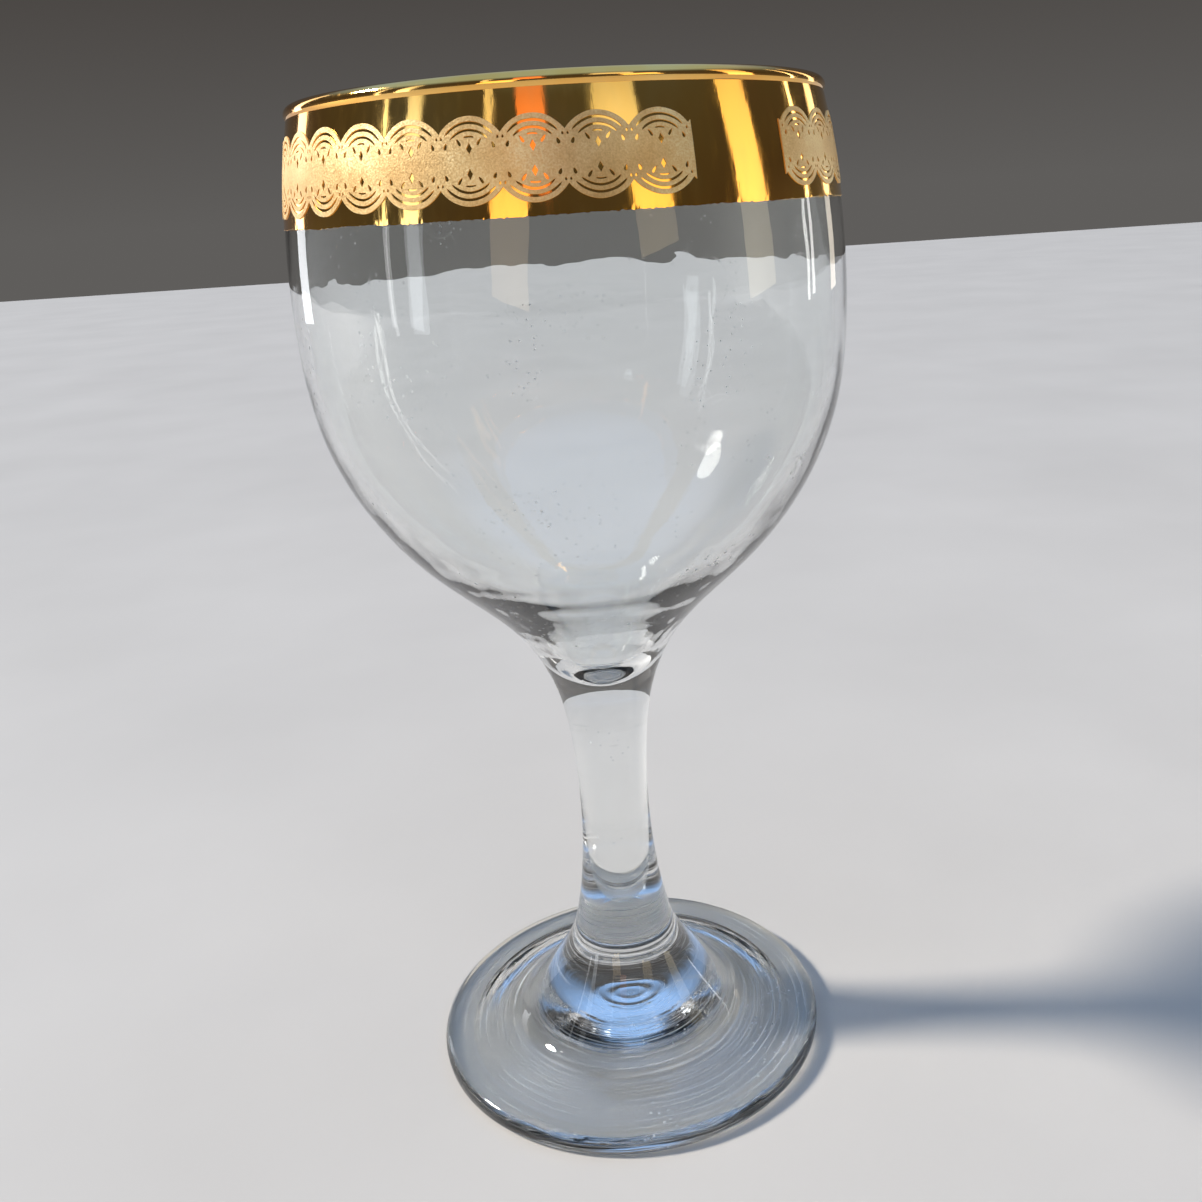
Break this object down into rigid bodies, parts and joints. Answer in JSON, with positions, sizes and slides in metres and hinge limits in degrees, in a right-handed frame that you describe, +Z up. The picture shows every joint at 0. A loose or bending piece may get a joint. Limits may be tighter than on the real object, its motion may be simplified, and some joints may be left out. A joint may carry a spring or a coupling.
{
  "type": "wine glass",
  "caption": "Clear stemmed wine glass with a rounded bowl, a mirror-gold rim band with a pale lace border, a waisted solid stem and a broad round foot.",
  "frame": {"origin": "centre of the resting plane under the foot", "axes": "+Z up along the axis of the glass, -Y towards the viewer, +X to the viewer's right; the open seam of the border faces about 57 degrees from +X towards -Y"},
  "size_m": [0.085, 0.085, 0.1661],
  "materials": {
    "glass": "clear, polished, faint grey-green tint in the thick places",
    "gold": "mirror-bright fired-on gold lustre",
    "lace": "matte fired-on cream border"
  },
  "bodies": {
    "root": {"foot": "glass", "stem": "glass", "bowl": "glass", "gold_band": "gold", "lip_gilding": "gold", "lace_ornament": "lace"}
  },
  "joints": []
}
